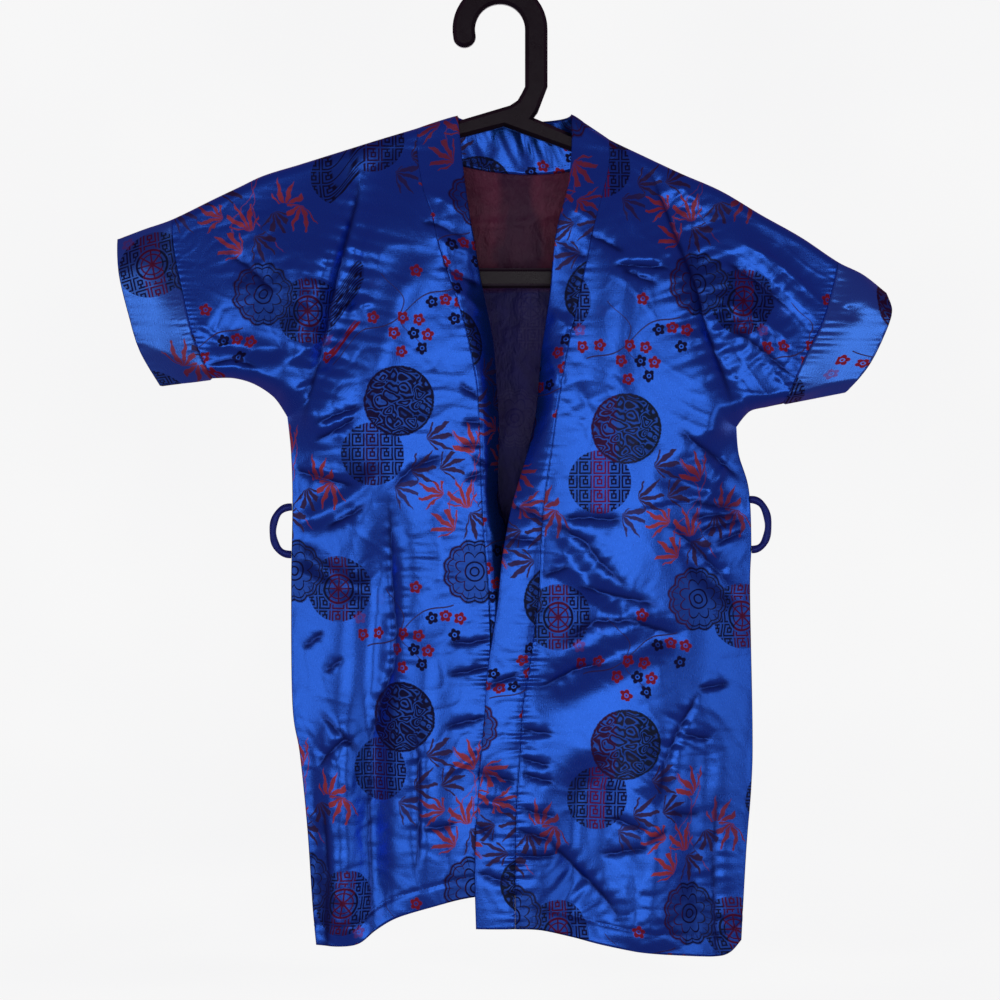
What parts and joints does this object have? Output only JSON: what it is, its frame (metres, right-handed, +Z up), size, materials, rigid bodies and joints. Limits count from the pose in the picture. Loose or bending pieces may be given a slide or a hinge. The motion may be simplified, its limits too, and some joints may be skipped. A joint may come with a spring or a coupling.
{
  "type": "kimono robe on a hanger",
  "caption": "Child's short-sleeved kimono robe with a lapped front, neckband, cuffs and belt loops, hung on a moulded hanger with a trouser bar.",
  "frame": {"origin": "inside top of the hanger's hook, where a rail carries it", "axes": "+Z up, the front faces -Y, +X to the viewer's right"},
  "size_m": [0.6177, 0.0691, 0.7775],
  "materials": {
    "brocade_satin": "royal-blue brocade satin with woven flower, leaf, scroll and fret motifs",
    "band_satin": "the same satin folded into a band, with puckered seams",
    "hanger_plastic": "black moulded plastic, satin gloss with soft mould lines"
  },
  "bodies": {
    "root": {"front_left": "brocade_satin", "front_right": "brocade_satin", "back": "brocade_satin", "neckband": "band_satin", "cuff_left": "brocade_satin", "cuff_right": "brocade_satin", "belt_loop_left": "brocade_satin", "belt_loop_right": "brocade_satin", "hanger": "hanger_plastic"}
  },
  "joints": []
}
